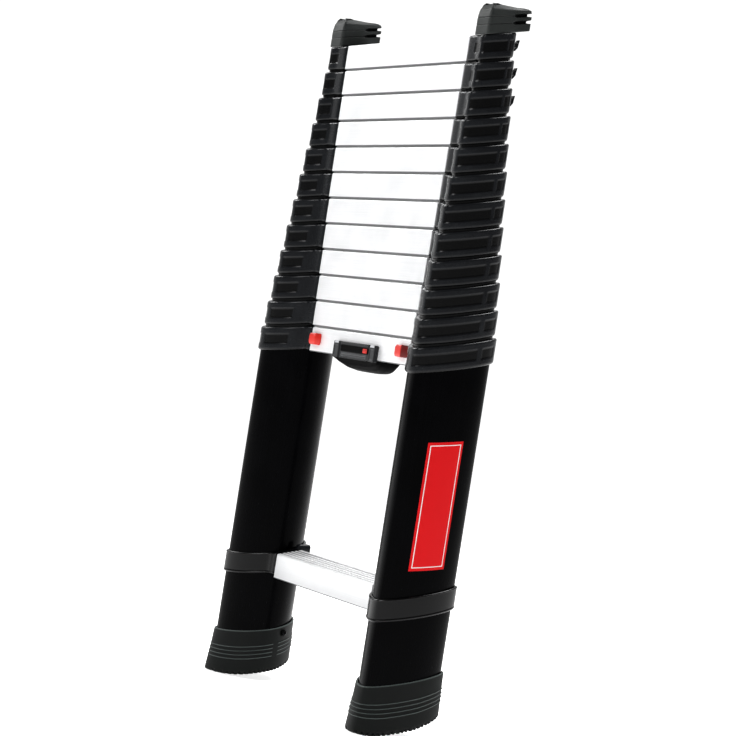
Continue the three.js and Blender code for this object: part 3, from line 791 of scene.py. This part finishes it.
for side, name in SIDES:
    count = 360
    a = np.linspace(0, 2 * math.pi, count, endpoint=False)
    forwards = np.maximum(0, -np.sin(a))
    tube_line = egg(FIRST, 0.0, count)
    outwards = egg(FIRST, 1.0, count) - tube_line
    degrees = np.degrees(np.arctan2(tube_line[:, 1], tube_line[:, 0]))
    ribbed = 1 - ramp(degrees, *PLAIN_BAND, 1.5)
    rows, marks = [], []
    spread = (1 + 2 * forwards) / 3
    sole_line = tube_line + outwards * (FOOT_WALL + TOE_FLARE * spread - 1.2)[:, None]
    for share in np.linspace(0.03, 0.96, 34):
        line = sole_line * share
        rows.append(on_stile(line, sole_height(line) + TOOTH_DEPTH * teeth(line[:, 1]), side, 0.0))
        marks.append(np.zeros(count))
    for t in np.r_[0.0, 0.02, 0.035, 0.05, 0.065, 0.08, np.linspace(0.10, 0.97, 120)]:
        flare = np.interp(t, (0, 0.12, 0.62, 1.0), (TOE_FLARE, TOE_FLARE - 0.4, 1.6, 0.0))
        ridge = sum(np.exp(-(((t - at) / RIB_WIDTH) ** 2)) for at in RIBS) * ribbed
        amount = FOOT_WALL + flare * spread + RIB_HEIGHT * ridge - 0.8 * max(0, 1 - t / 0.03)
        up = (t - 1) * BOOT_HEIGHT + SCREW["below"]
        away = np.abs((degrees - SCREW["direction"] + 180) % 360 - 180) * MM_PER_DEGREE
        line = tube_line + outwards * amount[:, None]
        notch = teeth(line[:, 1]) * ramp(t, -1.0, 0.075, 0.02)
        recess = np.clip((RECESS - np.hypot(away, up)) / 0.8, 0, 1)
        amount = amount - RECESS_DEPTH * recess - NOTCH_DEPTH * notch
        line = tube_line + outwards * amount[:, None]
        foot = sole_height(line) + TOOTH_DEPTH * teeth(line[:, 1]) * (t < 0.01)
        rows.append(on_stile(line, foot + (FOOT_RIM + SLOPE * line[:, 1] - foot) * t, side, 0.0))
        # The ribs carry the painted highlight.
        marks.append(ridge)
    for amount, fall, mark in RIM_ROWS:
        rows.append(on_stile(tube_line + outwards * amount, FOOT_RIM - fall, side))
        marks.append(np.full(count, mark))
    for amount, z in ((0.35, 45.0), (0.35, SOCKET_FLOOR - 0.3), (-6.0, SOCKET_FLOOR - 0.3)):
        rows.append(on_stile(tube_line + outwards * amount, z, side))
        marks.append(np.zeros(count))
    piece(f"foot_{name}", [(np.stack(rows), True, np.stack(marks))], rubber, "base", "rubber", f"foot_{name}")

# ---- Foot screws ----
# A black pan-head screw with a hexagon socket holds each boot to its tube, near the boot's rim on the
# inner side.
# Black-oxide steel: a dark metal whose edges glint.
blackened = finish(
    "black_oxide_steel",
    (0x121314, 0x1E1F21),
    (0.25, 0.4),
    grain=0.7,
    relief=0.01,
    Metallic=1.0,
)
SOCKET_HALF = 1.75  # half the hexagon across its flats
for side, name in SIDES:
    turn = 2 * math.pi * np.arange(48) / 48
    six = SOCKET_HALF / np.cos((turn + math.pi / 6) % (math.pi / 3) - math.pi / 6)
    a = math.radians(SCREW["normal"])
    outwards = np.array([side * math.cos(a), math.sin(a), 0.0])
    upwards = np.array([0.0, 0.0, 1.0])
    across = np.cross(upwards, outwards)
    reach = float(egg_at(a, FIRST) @ (math.cos(a), math.sin(a)))
    back = math.sin(math.radians(SCREW["direction"])) * reach
    centre = np.array([side * STILE_X, STILE_Y, FOOT_RIM - SCREW["below"] + SLOPE * back])
    rows = []
    for radius, height in (
        (1.7, reach + 0.8), (1.7, reach + 3.2), (4.0, reach + 3.2), (4.15, reach + 3.6), (4.1, reach + 4.6),
        (3.6, reach + 5.6), (2.7, reach + 6.1), (2.2, reach + 6.2), (six, reach + 6.1), (six, reach + 4.4),
    ):
        ring = np.stack([np.cos(turn), np.sin(turn)], -1) * np.broadcast_to(radius, (48,))[:, None]
        rows.append(centre + outwards * height + ring[:, :1] * across + ring[:, 1:] * upwards)
    screw_name = f"foot_screw_{name}"
    piece(screw_name, [(np.stack(rows), True)], blackened, "base", "steel", screw_name)

# ---- Top caps ----
# A hard rubber cap closes each innermost tube and bears on the wall. It is arched on top and hangs over the
# back, where two slots make it springy; a thin parting line runs forwards from each slot.
CAP = [(-20.0, -21.0), (14.0, -21.0), (14.0, 36.3), (-20.0, 36.3)]
CAP_ARCH = (0, 21, 28, 32.5, 34)  # heights at which the arch of the top draws in and levels out
CAP_SLOTS = ((9.5, 13.5), (18.0, 22.5))
cap_line = rounded(CAP, 4.5, 200)
# Hard rubber, dark grey with a fine matt grain, painted near black in the slots as painted shade.
hard_rubber = finish(
    "hard_grey_rubber",
    (0x2B2E2D, 0x3A3D3C),
    (0.42, 0.56),
    grain=0.9,
    relief=0.03,
    second=(0x020202, 0.7),
    Specular_IOR_Level=0.3,
)
for side, name in SIDES:
    low = top_of(LAST) + 0.3
    rows = [(2.2, 0.0), (0.7, 0.0), (0.1, 0.7)]
    heights = np.r_[np.arange(1.4, 26.0, 0.6), 27.0, 28.0, 29.2, 30.4, 31.5, 32.5, 33.2, 33.7, 34.0]
    rows += [(float(np.interp(z, CAP_ARCH, (0, 0, 1.5, 5, 10))), z) for z in heights]
    inwards = inset(cap_line, 1.0) - cap_line
    made, marks = [], []
    for amount, z in rows:
        slope = SLOPE * float(np.interp(z, CAP_ARCH, (1, 0.9, 0.6, 0.25, 0.1)))
        slot, parting = np.zeros(len(cap_line)), np.zeros(len(cap_line))
        for foot, head in CAP_SLOTS:
            middle = (foot + head) / 2
            slot = slot + ramp(z, foot, head, 0.6) * np.clip((cap_line[:, 1] - 11.0) / 8.0, 0, 1)
            parting = parting + ramp(z, middle - 0.7, middle + 0.7, 0.5) * (cap_line[:, 1] < 14)
        line = cap_line + inwards * (amount + 6.5 * slot + 0.45 * parting)[:, None]
        made.append(on_stile(line, low + z, side, slope))
        # Painted shade: near black in the slots; the parting line is drawn darker too.
        marks.append(np.clip(slot + 0.7 * parting, 0, 1))
    cap_name = f"top_cap_{name}"
    piece(cap_name, [(np.stack(made), True, np.stack(marks))], hard_rubber, "section_13", "rubber", cap_name)

# ---- Catches ----
# The three uppermost collars each have a small hook moulded on the back, over which the closed ladder's
# strap is looped.
HOOK = np.array([(-1.5, 10.0), (3.0, 9.6), (5.6, 12.6), (6.2, 17.5), (7.4, 21.0)])  # back from the wall, up
HOOK_ROWS, HOOK_COLUMNS = 25, 40
for level in (11, 12, 13):
    for side, name in SIDES:
        top = top_of(level)
        back = float(egg_radius(level, COLLAR_WALL, np.array([math.pi / 2]))[0])
        t = np.linspace(0, 1, HOOK_ROWS)
        nearest = np.linspace(0, 1, len(HOOK))
        y, z = np.interp(t, nearest, HOOK[:, 0] + back), np.interp(t, nearest, HOOK[:, 1])
        along = np.stack([np.gradient(y), np.gradient(z)], -1)
        along /= np.hypot(*along.T)[:, None]
        section = rounded([(-3.6, -1.1), (3.6, -1.1), (3.6, 1.1), (-3.6, 1.1)], 0.7, HOOK_COLUMNS)
        thick = np.interp(t, (0, 0.8, 1), (1.3, 1.0, 0.45))
        px = np.broadcast_to(section[None, :, 0], (HOOK_ROWS, HOOK_COLUMNS))
        py = y[:, None] - along[:, 1:] * section[None, :, 1] * thick[:, None]
        pz = z[:, None] + along[:, :1] * section[None, :, 1] * thick[:, None]
        hook = np.stack([side * (STILE_X + px), STILE_Y + py, top - COLLAR_HEIGHT + pz + SLOPE * py], -1)
        node_name = f"stile_{level}_{name}"
        catch_name = f"catch_{level}_{name}"
        piece(catch_name, [(hook, True)], nylon, f"section_{level}", "black_plastic", node_name)

# ---- Side label ----
# A printed vinyl film is stuck round the outer side of the right stile. It is plain red with a thin white
# line inside its edge, and its ends are cut at a slant.
LABEL = {"front": -25.0, "back": 21.0, "low": 202.0, "high": 355.0, "slant": 0.165}
# Gloss-laminated vinyl: one clean colour under a smooth clear skin.
vinyl = finish(
    "red_vinyl_film",
    (0xDC161D, 0xDE171E),
    (0.30, 0.32),
    grain=6.0,
    relief=0.0,
    Specular_IOR_Level=0.2,
)
# Screen-printed ink: an even, slightly raised white.
white_ink = finish("white_printing_ink", (0xE8E8E8, 0xF2F2F2), (0.30, 0.36), grain=2.0, relief=0.002)


def film(y0, y1, z0, z1, under, over):
    """A film wrapped on the tube between two depths y and two heights z: its outline is the tube's at two
    distances, there and back, and every row rises to the back by the slant."""
    normals = np.linspace(-1.2, 1.2, 2001)
    a = np.interp(np.linspace(y0, y1, 40), egg_at(normals, FIRST)[:, 1], normals)
    line = np.vstack([egg_at(a, FIRST, over), egg_at(a[::-1], FIRST, under)])
    return np.stack([on_stile(line, z, 1, LABEL["slant"]) for z in np.linspace(z0, z1, 9)]), True


red_film = film(LABEL["front"], LABEL["back"], LABEL["low"], LABEL["high"], 0.1, 0.45)
piece("side_label", [red_film], vinyl, "base", "label_film", "side_label")
y0, y1, z0, z1 = LABEL["front"] + 3.0, LABEL["back"] - 3.0, LABEL["low"] + 3.5, LABEL["high"] - 3.5
LINE, INK = 1.1, (0.46, 0.55)  # how wide the line is, and how far from the tube it begins and ends
frame_lines = [
    film(y0, y0 + LINE, z0, z1, *INK),
    film(y1 - LINE, y1, z0, z1, *INK),
    film(y0 + LINE, y1 - LINE, z0, z0 + LINE, *INK),
    film(y0 + LINE, y1 - LINE, z1 - LINE, z1, *INK),
]
piece("label_line", frame_lines, white_ink, "base", "label_film", "side_label")
